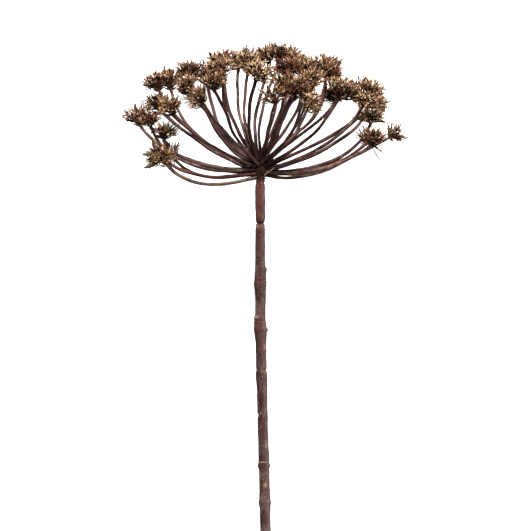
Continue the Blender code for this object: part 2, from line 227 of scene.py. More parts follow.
class Shape:
    """Points, faces and point attributes gathered for one piece."""

    def __init__(self):
        self.points, self.faces, self.values, self.count = [], [], {}, 0

    def add(self, points, faces, **values):
        """Add points of shape (..., 3), arrays of their faces, and each attribute's values.

        An attribute is one vector for each point, or numbers that are repeated until every
        point has one: a single number, or those of one tube.
        """
        points = points.reshape(-1, 3)
        self.points.append(points)
        self.faces += [block + self.count for block in faces]
        self.count += len(points)
        for name, value in values.items():
            value = value if np.ndim(value) == 2 else np.resize(value, len(points))
            self.values.setdefault(name, []).append(value)

    def piece(self, name, material, slot, smooth=True):
        """Write the mesh in metres, at the origin, riding on the root body."""
        mesh = bpy.data.meshes.new(name)
        points = np.vstack(self.points) * MM
        faces = [face for block in self.faces for face in block.tolist()]
        mesh.from_pydata(points.tolist(), [], faces)
        mesh.polygons.foreach_set("use_smooth", np.full(len(mesh.polygons), smooth))
        for key, parts in self.values.items():
            value = np.concatenate(parts).astype(np.float32)
            kind, field = ("FLOAT", "value") if value.ndim == 1 else ("FLOAT_VECTOR", "vector")
            mesh.attributes.new(key, kind, "POINT").data.foreach_set(field, value.ravel())
        mesh.materials.append(material)
        mesh.update()
        made = placed(name, mesh)
        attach(made, "root")
        return made


# --- materials

# Every colour, in 0 to 255 display values.
COLOURS = dict(
    bark=(23, 14, 13), bark_fibre=(61, 41, 38), bark_red=(80, 43, 35), bark_dust=(80, 68, 64),
    # (30, 24, 26) and (152, 130, 124) are painted shade and a painted highlight down the stem's
    # sides.
    bark_fresh=(72, 40, 31), speck=(100, 84, 78), fleck=(24, 13, 13), shaded=(30, 24, 26),
    painted_highlight=(152, 130, 124), scar=(156, 132, 112), hub=(23, 12, 12), pith=(186, 160, 120),
    ray=(22, 12, 12), ray_fibre=(54, 33, 31), red_ray=(40, 20, 19), red_ray_fibre=(84, 50, 45),
    ray_dust=(100, 86, 72), ray_root=(22, 11, 11),
    pedicel_foot=(22, 11, 9), pedicel=(66, 38, 26), pedicel_mottle=(84, 50, 36),
    pale_bract=(164, 142, 110), green_bract=(50, 50, 36),
    # (18, 8, 6) is the seeds' own dark foot and painted shade deep in the crown together.
    seed_foot_and_painted_shade=(18, 8, 6), brown_seed=(40, 19, 14), bright_brown_seed=(138, 84, 58),
    gold_seed=(118, 74, 46), bright_gold_seed=(252, 220, 172), seed_mottle=(104, 64, 40),
    bristle=(58, 36, 25),
)


def colour_of(name):
    """One of the colours as linear light: v/12.92 for low values, ((v + 0.055)/1.055)^2.4 above."""
    display = np.array(COLOURS[name]) / 255.0
    linear = np.where(display <= 0.04045, display / 12.92, ((display + 0.055) / 1.055) ** 2.4)
    return (*linear.tolist(), 1.0)


def add(tree, kind, inputs=None, **settings):
    """A node with its settings made and each named or numbered input linked or set."""
    node = tree.nodes.new(kind)
    for name, value in settings.items():
        setattr(node, name, value)
    for key, value in (inputs or {}).items():
        if isinstance(value, bpy.types.NodeSocket):
            tree.links.new(value, node.inputs[key])
        else:
            node.inputs[key].default_value = value
    return node


def plus(tree, first, second):
    """The sum of two values."""
    return add(tree, "ShaderNodeMath", {0: first, 1: second}, operation="ADD").outputs[0]


def times(tree, first, second):
    """The product of two values."""
    return add(tree, "ShaderNodeMath", {0: first, 1: second}, operation="MULTIPLY").outputs[0]


def blend(tree, factor, low, high):
    """A colour between two others, each a name or a socket, by a factor of 0 to 1."""
    low, high = (colour_of(end) if isinstance(end, str) else end for end in (low, high))
    return add(tree, "ShaderNodeMix", {0: factor, 6: low, 7: high}, data_type="RGBA").outputs[2]


def layered(tree, colour, *layers):
    """A colour with others laid over it in turn: each one's name, its mask and how much shows."""
    for name, mask, amount in layers:
        colour = blend(tree, times(tree, mask, amount), colour, name)
    return colour


def between(tree, value, low, high, to_low=0.0, to_high=1.0):
    """A value carried from one range to another, smoothly and held inside it."""
    ends = {0: value, 1: low, 2: high, 3: to_low, 4: to_high}
    return add(tree, "ShaderNodeMapRange", ends, interpolation_type="SMOOTHSTEP").outputs[0]


def noise(tree, vector, scale, detail=3.0, roughness=0.55, distortion=0.0):
    """Fractal noise between 0 and 1 on a vector."""
    inputs = {"Vector": vector, "Scale": scale, "Detail": detail, "Roughness": roughness}
    inputs["Distortion"] = distortion
    return add(tree, "ShaderNodeTexNoise", inputs).outputs["Fac"]


def read(tree, name, output="Fac"):
    """One of the piece's own point attributes."""
    return add(tree, "ShaderNodeAttribute", attribute_name=name).outputs[output]


def group(name, inputs, outputs):
    """An empty node group with a vector, these values going in and these coming out."""
    tree = bpy.data.node_groups.new(name, "ShaderNodeTree")
    tree.interface.new_socket("Vector", in_out="INPUT", socket_type="NodeSocketVector")
    for label in inputs:
        tree.interface.new_socket(label, in_out="INPUT", socket_type="NodeSocketFloat")
    for label in outputs:
        tree.interface.new_socket(label, in_out="OUTPUT", socket_type="NodeSocketFloat")
    return tree, tree.nodes.new("NodeGroupInput").outputs, tree.nodes.new("NodeGroupOutput").inputs


FIBRE_DRAW = (1.0, 1.0, 0.09)  # how fibres are drawn out along the third axis


def fibre_group():
    """Plant fibres: noise drawn out along the third axis of the vector.

    Broad streaks plus fine ones give Height, and the same spread out to 0 and 1 gives Streak.
    """
    tree, given, result = group("plant fibres", ["Fineness"], ["Streak", "Height"])
    drawn_out = add(tree, "ShaderNodeMapping", {0: given[0], 3: FIBRE_DRAW}).outputs[0]
    broad = noise(tree, drawn_out, given[1], 2.0, 0.6)
    fine = noise(tree, drawn_out, times(tree, given[1], 3.4), 3.0, 0.7, 0.4)
    height = plus(tree, times(tree, broad, 0.55), times(tree, fine, 0.45))
    tree.links.new(between(tree, height, 0.32, 0.68), result[0])
    tree.links.new(height, result[1])
    return tree


def dust_group():
    """Weathering: pale dusty patches broken up by fine grains, as a mask."""
    tree, given, result = group("weathering", ["Patches", "Grains", "Amount"], ["Mask"])
    patches = noise(tree, given[0], given[1], 3.0, 0.6)
    grains = noise(tree, given[0], given[2], 2.0, 0.7)
    level = plus(tree, patches, times(tree, grains, 0.5))
    level = plus(tree, level, times(tree, given[3], 0.35))
    tree.links.new(between(tree, level, 0.82, 1.05), result[0])
    return tree


FIBRES = fibre_group()
WEATHERING = dust_group()


def shared_effect(tree, effect, *values):
    """A shared effect placed in a material with its own values, as its outputs."""
    return add(tree, "ShaderNodeGroup", dict(enumerate(values)), node_tree=effect).outputs


def principled(name, roughness, specular):
    """A new material, its tree and its shader, with the constant values set."""
    material = bpy.data.materials.new(name)
    material.use_nodes = True
    tree = material.node_tree
    shader = tree.nodes["Principled BSDF"]
    shader.inputs["Roughness"].default_value = roughness
    shader.inputs["Specular IOR Level"].default_value = specular
    return material, tree, shader


def dress(tree, shader, colour, height, depth, rough=None):
    """Give the shader its colour and a bump, its depth in metres, and a roughness that varies.

    A roughness that varies is given as the mask it follows and its values at 0 and at 1.
    """
    tree.links.new(colour, shader.inputs["Base Color"])
    normal = add(tree, "ShaderNodeBump", {"Height": height, "Distance": depth}).outputs[0]
    tree.links.new(normal, shader.inputs["Normal"])
    if rough:
        mask, at_0, at_1 = rough
        tree.links.new(between(tree, mask, 0.0, 1.0, at_0, at_1), shader.inputs["Roughness"])


def bark_material():
    """The stem's bark: reddish brown fibres, grey weathering, pale scars, a dark hub.

    It is redder just under the head, with painted shade down one side and a painted highlight
    down the other.
    """
    material, tree, shader = principled("weathered_bark", 0.75, 0.03)
    grain = read(tree, "grain", "Vector")
    spot = add(tree, "ShaderNodeTexCoord").outputs["Object"]
    sunny = read(tree, "sunny")
    streak, height = shared_effect(tree, FIBRES, grain, 900.0)
    redness = between(tree, noise(tree, grain, 90.0, 2.0), 0.40, 0.62)
    dust = shared_effect(tree, WEATHERING, spot, 160.0, 2600.0, read(tree, "grey"))[0]
    speck = between(tree, noise(tree, grain, 1500.0, 1.0, 0.5), 0.60, 0.68)
    fleck = between(tree, noise(tree, grain, 1900.0, 2.0, 0.6), 0.54, 0.64)
    colour = layered(
        tree,
        blend(tree, streak, "bark", "bark_fibre"),
        ("bark_red", redness, 0.3),
        ("bark_dust", dust, 0.65),
        ("bark_fresh", read(tree, "fresh"), 1.0),
        ("speck", speck, 0.5),
        ("fleck", fleck, 0.85),
        # painted shade down one side of the stem and a painted highlight down the other
        ("shaded", between(tree, sunny, 0.4, 0.0), 0.2),
        ("painted_highlight", between(tree, sunny, 0.74, 1.0), 0.11),
        ("scar", read(tree, "scar"), 1.0),
        ("hub", read(tree, "dark"), 1.0),
        ("pith", read(tree, "pith"), 1.0),
    )
    grit = noise(tree, spot, 3200.0, 2.0, 0.7)
    relief = plus(tree, height, times(tree, grit, 0.5))
    dress(tree, shader, colour, relief, 0.00035, (streak, 0.85, 0.6))
    return material


def ray_material():
    """The rays' skin: dark red-brown, finely grooved; some rays are grey with weathering."""
    material, tree, shader = principled("ray_skin", 0.6, 0.08)
    grain = read(tree, "grain", "Vector")
    streak, height = shared_effect(tree, FIBRES, grain, 1500.0)
    dark = blend(tree, streak, "ray", "ray_fibre")
    red = blend(tree, streak, "red_ray", "red_ray_fibre")
    dust = shared_effect(tree, WEATHERING, grain, 260.0, 3000.0, read(tree, "dusty"))[0]
    colour = layered(
        tree,
        blend(tree, read(tree, "tone"), dark, red),
        ("ray_dust", dust, 0.6),
        ("ray_root", read(tree, "dark"), 1.0),
    )
    dress(tree, shader, colour, height, 0.0002, (streak, 0.75, 0.5))
    return material


def pedicel_material():
    """Pedicels and bracts: dark brown, blacker low down, a few of them pale or grey-green."""
    material, tree, shader = principled("pedicel_skin", 0.7, 0.06)
    spot = add(tree, "ShaderNodeTexCoord").outputs["Object"]
    mottle = between(tree, noise(tree, spot, 1500.0, 2.0, 0.6), 0.35, 0.65)
    colour = layered(
        tree,
        blend(tree, read(tree, "along"), "pedicel_foot", "pedicel"),
        ("pedicel_mottle", mottle, 0.35),
        ("pale_bract", read(tree, "pale"), 1.0),
        ("green_bract", read(tree, "green"), 1.0),
    )
    dress(tree, shader, colour, mottle, 0.00008)
    return material


def seed_material():
    """Seed husks: near black at the foot, partly their own colour and partly painted shade in the
    crown's gaps; straw gold or brown above, each seed its own tone.

    The bristles are browner than the husk that they stand on.
    """
    material, tree, shader = principled("seed_husk", 0.65, 0.06)
    tone = read(tree, "tone")
    spot = add(tree, "ShaderNodeTexCoord").outputs["Object"]
    mottle = between(tree, noise(tree, spot, 1500.0, 3.0, 0.65), 0.34, 0.66)
    brown = blend(tree, tone, "brown_seed", "bright_brown_seed")
    gold = blend(tree, tone, "gold_seed", "bright_gold_seed")
    high = blend(tree, read(tree, "kind"), brown, gold)
    high = layered(tree, high, ("seed_mottle", mottle, 0.35))
    rise = plus(tree, read(tree, "along"), times(tree, mottle, 0.22))
    # near black low on each seed and awn: partly their own dark foot, partly painted shade in the
    # gaps
    colour = blend(tree, between(tree, rise, 0.54, 0.90), "seed_foot_and_painted_shade", high)
    colour = layered(tree, colour, ("bristle", read(tree, "bristle"), 0.8))
    dress(tree, shader, colour, mottle, 0.00012, (mottle, 0.8, 0.55))
    return material


BARK = bark_material()
RAY_SKIN = ray_material()
PEDICEL_SKIN = pedicel_material()
SEED_HUSK = seed_material()

# --- the stem

STEM_AROUND = 72
STEM_PITCH = 0.34
STEM_ROUNDING = 2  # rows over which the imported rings' edges are rounded off
FULLER = 0.10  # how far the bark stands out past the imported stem, and how much more on the right
RIDGES = (10, 0.055)  # how many ridges run down the stem, and how high they stand
BARK_LAYERS = [
    (0.060, 17, 5.0, 11),
    (0.050, 30, 2.2, 12),
    (0.045, 26, 0.9, 13),
    (0.10, 5, 6.0, 14),
]  # the bark's unevenness: its height, cells round the stem, their length and the random seed
HUB_DARK = 0.85  # how dark the hub is, and what grows into it
PAINTED_LIGHT_SIDE = 335  # degrees, as in the marks below, to the side that gets a painted highlight; the far side gets painted shade

# Marks finer than the imported stem's: how far below the hub, half length, depth or height, the
# side (degrees from across, towards the back), how wide it is round the stem (degrees; 360 is
# all round), and how pale (scar) and how dark it is.
STEM_DETAILS = [
    (21.5, 0.42, -0.42, 0, 360, 0, 0.8),
    (22.9, 0.35, 0.14, 200, 70, 0.6, 0),
    (22.7, 0.45, 0.16, 20, 60, 0.1, 0),
    (39.2, 0.6, -0.35, 0, 40, 0, 0.3),
    (41, 0.55, 0.42, 0, 34, 0.3, 0),
    (45.4, 0.4, -0.1, 0, 360, 0, 0.5),
    (47.8, 0.4, 0.14, 190, 60, 0.2, 0),
    (59.5, 0.5, -0.25, 186, 60, 0, 0.5),
    (61, 0.42, 0.36, 190, 60, 0.7, 0),
    (62.2, 0.4, -0.12, 240, 150, 0, 0.5),
    (66.3, 0.6, 0.5, 0, 40, 0.1, 0.2),
    (73.5, 1.1, -0.08, 330, 26, 0.4, 0),
    (83.2, 0.32, -0.26, 20, 200, 0.15, 0.7),
    (84.3, 0.4, 0.12, 180, 150, 0, 0.2),
    (94, 7, -0.04, 208, 34, 0, 0.5),
    (97.4, 3.1, -0.55, 250, 21, 0, 1),
    (101.2, 0.28, 0.08, 246, 20, 0.55, 0),
    (102.1, 0.55, -0.95, 186, 36, 0.1, 0.6),
    (115, 1.6, 0.03, 310, 24, 0.35, 0),
    (121.9, 0.24, 0.06, 0, 360, 0.4, 0),
    (122.5, 0.24, -0.1, 0, 360, 0, 0.6),
    (123.2, 0.5, 0.34, 0, 45, 0, 0.4),
    (123.2, 0.5, 0.22, 180, 45, 0, 0.4),
    (131.5, 0.8, 0.02, 285, 26, 0.5, 0),
    (138.7, 0.5, 0.34, 0, 50, 0.1, 0.2),
    (138.9, 0.5, 0.22, 182, 50, 0.1, 0.3),
    (156, 0.6, 0.18, 300, 70, 0.2, 0.2),
    (171.2, 0.35, -0.12, 0, 360, 0, 0.5),
    (172, 0.4, 0.12, 0, 360, 0.3, 0),
]

# The cut's rings, from its middle out: share of the rim's radius, how far they are sunk into the
# stem, how dark they are and how much pith they show.
CUT_RINGS = np.array([
    (0.22, 0.42, 0.75, 0.35),
    (0.45, 0.35, 0.45, 0.55),
    (0.52, 0.02, 0.05, 0.95),
    (0.74, -0.02, 0.0, 0.80),
    (0.90, 0.05, 0.0, 0.35),
])


def rounded_off(values, reach):
    """Rows averaged with their neighbours, by bell-shaped weights; both end rows stay."""
    far = 3 * reach
    weights = np.exp(-0.5 * (np.arange(-far, far + 1) / reach) ** 2)
    before = 2 * values[:1] - values[1 : far + 1][::-1]
    after = 2 * values[-1:] - values[-far - 1 : -1][::-1]
    padded = np.concatenate([before, values, after])
    total = sum(w * padded[k : k + len(values)] for k, w in enumerate(weights))
    return total / weights.sum()


def fine_stem_rings():
    """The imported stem's rings made fine: by a Fourier series round it, rounded lines along it."""
    places = in_plant(stem_rings)
    off = places - places.mean(axis=1, keepdims=True)
    turn = np.arctan2(-off[..., 2], off[..., 0])
    order = np.argsort(np.mod(turn + 0.2, FULL_TURN), axis=1)
    places = np.take_along_axis(places, order[..., None], axis=1)
    spectrum = np.fft.rfft(places, axis=1)
    places = np.fft.irfft(spectrum, n=STEM_AROUND, axis=1) * (STEM_AROUND / STEM_SIDES)
    levels = places[..., 1].mean(axis=1)
    wanted = np.append(np.arange(levels[0], levels[-1], STEM_PITCH), levels[-1])
    shares = np.array([np.interp(wanted, levels, row) for row in np.eye(len(levels))])
    grid = np.einsum("lw,lan->wan", shares, places)
    return np.concatenate([grid[:1], rounded_off(grid, STEM_ROUNDING)[1:]])


def bark_relief(around, below):
    """How far the bark stands out of its rings, and how scarred and how dark it is.

    The relief adds ridges that wander, h cos(n a + wander), the unevenness in BARK_LAYERS, and
    the marks in STEM_DETAILS as bells exp(-(d/half)^2), with ragged edges and, round the stem,
    exp(-2 (a/width)^2). The hub is dark and rough, with a frayed edge.
    """
    ridges, ridge_height = RIDGES
    stem_part = smooth_step((below + 1.0) / 6.0)
    wander = 0.5 * np.sin(below / 14.0) + 0.3 * np.sin(below / 5.3 + 1.0)
    relief = ridge_height * np.cos(ridges * around + wander) * stem_part
    relief = relief + FULLER * (1 + 0.9 * np.cos(around))
    for height, cells, pitch, seed in BARK_LAYERS:
        relief = relief + height * lattice_noise(around, below, cells, pitch, seed)
    scar, dark = np.zeros_like(below), np.zeros_like(below)
    for at, half, height, side, width, pale, dull in STEM_DETAILS:
        ragged = 0.35 * half * lattice_noise(around, below, 9, 1.5, int(at * 10))
        bell = np.exp(-(((below - at + ragged) / half) ** 2))
        if width < 360:
            off = (around - math.radians(side) + math.pi) % FULL_TURN - math.pi
            bell = bell * np.exp(-((off / math.radians(width)) ** 2) * 2.0)
        relief = relief + height * bell
        scar = np.maximum(scar, pale * bell)
        dark = np.maximum(dark, dull * bell)
    hub = 1 - smooth_step((below - 0.5) / 5.0)
    frayed = 0.35 * lattice_noise(around, below, 14, 1.6, 15)
    dark = np.maximum(dark, np.clip(hub + frayed * hub * (1 - hub) * 4, 0, 1) * HUB_DARK)
    relief = relief + hub * 0.12 * lattice_noise(around, below, 16, 1.1, 16)
    return relief, scar, dark


def stem_piece():
    """The stem: fine rings that the bark's relief pushes out, the slanting cut, and its masks.

    point(s, a) = ring(s, a) + n(s, a) h(s, a), with h = 0 at the rim of the cut. From the rim
    the cut runs inward in rings drawn towards its middle: bark, then wood, then a sunken pith.
    Masks: scar, dark and pith from the marks and the cut; grey grows down the stem; a bell round
    the hub makes it redder there; a cosine round the stem places a painted highlight on one side
    and painted shade on the other.
    """
    grid = fine_stem_rings()
    below = -grid[..., 1]
    angles = np.arange(STEM_AROUND) * FULL_TURN / STEM_AROUND
    relief, scar, dark = bark_relief(np.broadcast_to(angles, below.shape), below)
    relief[0] = 0.0
    out = grid - grid.mean(axis=1, keepdims=True)
    out[..., 1] = 0.0
    grid = grid + unit(out) * relief[..., None]

    share, sunk, cut_dark, cut_pith = CUT_RINGS.T[..., None]
    middle = grid[0].mean(axis=0)
    cut = middle + (grid[0] - middle) * share[..., None]
    cut[..., 1] += sunk + 0.06 * np.sin(5 * angles + 9 * share)
    grid = np.concatenate([cut, grid])
    points = np.vstack([grid.reshape(-1, 3), grid[0].mean(axis=0), in_plant(stem_top)])
    plain = np.zeros_like(scar)

    def mask(cut_rows, rows, at_cut, at_top):
        """One value for every point: the cut's rings, the stem's rings and the two poles."""
        cut_rows = np.broadcast_to(cut_rows, (len(cut), STEM_AROUND))
        return np.append(np.concatenate([cut_rows, rows]), [at_cut, at_top])

    axis = np.vstack([np.repeat(grid.mean(axis=1), STEM_AROUND, axis=0), points[-2:]])
    off = points - axis
    facing = np.append(np.tile(angles, len(grid)), [0, 0]) - math.radians(PAINTED_LIGHT_SIDE)
    lying = out_of_plant(points)
    lying[:, 2] = np.maximum(lying[:, 2], 0.0)  # it lies on the floor
    stem = Shape()
    stem.add(
        lying,
        tube_faces(len(grid), STEM_AROUND),
        grain=np.column_stack([off[:, 0], off[:, 2], points[:, 1]]) * MM,
        scar=mask(0.0, scar, 0.0, 0.0),
        dark=mask(cut_dark, dark, 0.75, HUB_DARK),
        pith=mask(cut_pith, plain, 0.35, 0.0),
        grey=np.interp(-points[:, 1], [20.0, 150.0], [0.05, 0.45]),
        fresh=0.5 * np.exp(-((points[:, 1] / 24.0) ** 2)),
        # a cosine round the stem: 1 on the side with the painted highlight, 0 on the side with
        # painted shade
        sunny=0.5 + 0.5 * np.cos(facing),
    )
    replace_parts(stem.piece("stem_bark", BARK, "stem"), "stem")


HUB_STUBS = 40  # what is left of the bracts that hung round the hub
STUB_OUT = 1.9  # how far from the stem's middle they start
# The ends between which they vary: how far up they start, how long they are, how far they fall
# or rise.
STUB_UP, STUB_REACH, STUB_FALL = (-3.4, 4.2), (1.6, 4.2), (-0.7, 0.5)
STUB_PROFILE = np.array([0.42, 0.46, 0.40, 0.34, 0.24, 0.15])
UPWARD = np.array([0.0, 1.0, 0.0])
HUB_FIBRE = [(1.6, -2.2, 3.3), (2.2, -0.6, 4.3), (4.6, 0.4, 5.0), (6.4, 1.9, 4.6)]
FIBRE_PROFILE = np.full(15, 0.17)


def hub_dressing():
    """Round the hub, the ragged stubs of the bracts that hung below the rays, and a pale fibre.

    Stub k of n leaves the hub at the golden angle times k, out and a little up or down, as a
    flat blade on a quadratic curve. The fibre is a thread that lies over the hub's front.
    """
    random = np.random.default_rng(77)
    turn = np.arange(HUB_STUBS) * GOLDEN_ANGLE
    out = np.column_stack([np.cos(turn), np.zeros(HUB_STUBS), np.sin(turn)])
    up = random.uniform(*STUB_UP, (HUB_STUBS, 1)) * UPWARD
    reach = random.uniform(*STUB_REACH, (HUB_STUBS, 1))
    fall = random.uniform(*STUB_FALL, (HUB_STUBS, 1))
    start = out * STUB_OUT + up
    middle = start + out * reach * 0.6 + UPWARD * fall * 0.2
    tip = start + (out + fall * UPWARD) * reach + random.normal(0, 0.35, (HUB_STUBS, 3))
    profile = STUB_PROFILE * random.uniform(0.6, 1.2, (HUB_STUBS, 1))
    points, faces, share = curved_tubes(np.stack([start, middle, tip], axis=1), profile, 5, 0.4)
    dressing = Shape()
    dressing.add(out_of_plant(points), faces, along=share * 0.25, pale=0.0, green=0.0)
    points, faces, share = curved_tubes(np.array([HUB_FIBRE]), FIBRE_PROFILE, 5)
    dressing.add(out_of_plant(points), faces, along=share, pale=0.46, green=0.0)
    dressing.piece("hub_bract_stubs", PEDICEL_SKIN, "stem")


stem_piece()
hub_dressing()

# --- rays

STALK_RINGS = 8  # rings of a packed ray below its umbellet
STALK_STEPS = 46
STALK_AROUND = 18
LINE_DEGREE = 5  # of the polynomial that smooths a packed stalk's line
RIBS = (6, 0.09)  # how many ribs run along a stalk, and their height as a share of its radius
STALK_SWAY = 0.16  # how far a stalk wavers off its packed line
STALK_LAYERS = [(0.07, 3, 6.0, 0), (0.06, 9, 1.6, 100)]  # as BARK_LAYERS, in shares of its radius
ROOT_FLARE = (0.20, 1.5)  # how much wider a stalk is at the hub, and how far from there
FOOT_FLARE = (0.38, 1.3)  # and the same at its umbellet
ROOT_DARK, ROOT_FADE = 0.6, 6.0  # how dark a stalk's skin is at the hub, and how slowly that fades
FOOT_KNOB = 0.9  # how far a stalk's rounded end reaches into its umbellet
GRAIN_RADIUS = 0.6  # of the round bar on which every stalk's skin is laid out
# How thick each stalk is beside its packed ray, where it isn't the usual.
SWELL = {
    1: 1.4, 3: 1.25, 8: 1.2, 9: 1.3, 14: 1.3, 19: 1.3, 21: 1.2, 22: 1.2, 23: 0.9, 24: 0.95,
    25: 0.95, 26: 0.86, 29: 0.82, 30: 0.88, 32: 0.95, 33: 0.92, 34: 1.3, 35: 1.3, 36: 1.3, 45: 0.8,
    46: 0.8,
}
USUAL_SWELL = 1.12
TAPERING = {40: 0.38, 41: 0.42, 43: 0.36, 37: 0.2}  # how much of its thickness a stalk loses
INTO_HUB = 1.9  # how far a stalk runs on from its packed root into the hub

# How red (tone) and how grey with weathering (dusty) each stalk is, where it isn't the usual.
RAY_TONES = {
    1: (0.2, 0.7), 2: (0.4, 0.3), 7: (0.9, 0.1), 8: (0.55, 0.4), 9: (0.15, 0.8), 13: (0.4, 0.3),
    14: (0.1, 0.0), 15: (0.3, 0.1), 16: (0.2, 0.0), 17: (0.45, 0.2), 18: (0.2, 0.5),
    19: (0.35, 0.3), 20: (0.45, 0.2), 21: (0.15, 0.1), 22: (0.1, 0.0), 25: (0.1, 0.0),
    31: (0.9, 0.2), 32: (0.7, 0.1), 33: (0.5, 0.2), 35: (0.5, 0.1), 38: (0.5, 0.4),
    40: (0.4, 0.1), 41: (0.6, 0.5), 42: (0.8, 0.2), 43: (0.3, 0.5),
}
USUAL_RAY = (0.3, 0.12)


class Ray:
    """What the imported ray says: its stalk's line, its foot, and the umbellet's axes."""

    def __init__(self, index):
        self.index = index
        self.name = f"{index:02d}"
        rings, apex = rings_of(f"ray_{self.name}", RAY_SIDES)
        centres = rings.mean(axis=1)
        stalk = centres[:STALK_RINGS]
        steps = np.linalg.norm(np.diff(stalk, axis=0), axis=1)
        along = np.append(0.0, np.cumsum(steps)) / steps.sum()
        self.length = steps.sum()
        fit = np.polyfit(along, stalk, LINE_DEGREE)
        shares = np.linspace(-INTO_HUB / self.length, 1.0, STALK_STEPS)
        line = np.vander(shares, LINE_DEGREE + 1) @ fit
        ahead = np.diff(np.vander([0.0, 0.01], LINE_DEGREE + 1) @ fit, axis=0)
        inside = shares < 0
        run = (shares[inside] - shares[~inside][0]) * self.length
        line[inside] = line[~inside][0] + unit(ahead) * run[:, None]
        self.line, self.shares = line, shares
        self.thick = np.linalg.norm(rings[:STALK_RINGS] - stalk[:, None], axis=-1).mean(axis=1)
        self.thick_at = along
        self.foot = centres[STALK_RINGS - 1]
        self.axis = unit(apex - self.foot)
        self.side = unit(np.cross(self.axis, ACROSS + 0.3 * UP))
        self.over = np.cross(self.axis, self.side)
        self.random = np.random.default_rng(500 + index)

    def outward(self, turn, out=1.0):
        """Steps out from the umbellet's axis, one for each angle round it."""
        return np.outer(np.cos(turn) * out, self.side) + np.outer(np.sin(turn) * out, self.over)


def stalk_piece(ray):
    """One ray's stalk, grooved and slightly uneven, from inside the hub to its umbellet's foot.

    r(s, a) = packed radius(s) (1 + h cos n(a + drift s) + slow noise + fine noise), wider over
    the last millimetre at both ends. Some stalks are slimmer past their middle. The line
    wavers by two slow sines across it. Near the hub the skin is dark.
    """
    wave = np.sin(np.outer(ray.shares, [9.0, 15.0]) * math.pi / 3 + ray.random.uniform(0, 6, 2))
    fade = (smooth_step(ray.shares * 5) * smooth_step((1 - ray.shares) * 5))[:, None]
    line = ray.line + fade * (wave[:, :1] * ray.side + wave[:, 1:] * ray.over) * STALK_SWAY
    path = np.vstack([line, line[-1:] + ray.axis * FOOT_KNOB])
    radius = np.interp(ray.shares, ray.thick_at, ray.thick)
    at_root = np.exp(-((ray.shares * ray.length + 0.6) / ROOT_FLARE[1]) ** 2)
    at_foot = np.exp(-(((1 - ray.shares) * ray.length) / FOOT_FLARE[1]) ** 2)
    slimmer = TAPERING.get(ray.index, 0.0) * smooth_step((ray.shares - 0.45) / 0.4)
    radius = radius * SWELL.get(ray.index, USUAL_SWELL) * (1 - slimmer)
    radius = radius * (1 + ROOT_FLARE[0] * at_root + FOOT_FLARE[0] * at_foot)
    angles = np.arange(STALK_AROUND) * FULL_TURN / STALK_AROUND
    around, along = np.meshgrid(angles, ray.shares * ray.length)
    drift = ray.random.uniform(-0.03, 0.03)
    uneven = 1 + RIBS[1] * np.cos(RIBS[0] * (around + drift * along) + ray.index)
    for height, cells, pitch, seed in STALK_LAYERS:
        uneven = uneven + height * lattice_noise(around, along, cells, pitch, seed + ray.index)
    radii = radius[:, None] * uneven
    points, faces, share, angle = tubes(path[None], radii[None], STALK_AROUND)
    tone, dusty = RAY_TONES.get(ray.index, USUAL_RAY)
    tone = tone + ray.random.uniform(-0.1, 0.15)
    run = share * (ray.length + INTO_HUB)
    bar = np.column_stack([np.cos(angle), np.sin(angle)]) * GRAIN_RADIUS * MM
    grain = np.column_stack([bar, run * MM + ray.index * 0.07])
    dark = np.clip(np.exp(-((run - INTO_HUB) / ROOT_FADE)) * ROOT_DARK, 0, HUB_DARK)
    stalk = Shape()
    stalk.add(points, faces, grain=grain, tone=tone, dusty=dusty, dark=dark)
    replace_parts(stalk.piece(f"ray_{ray.name}_stalk", RAY_SKIN, "ray"), f"ray_{ray.name}")
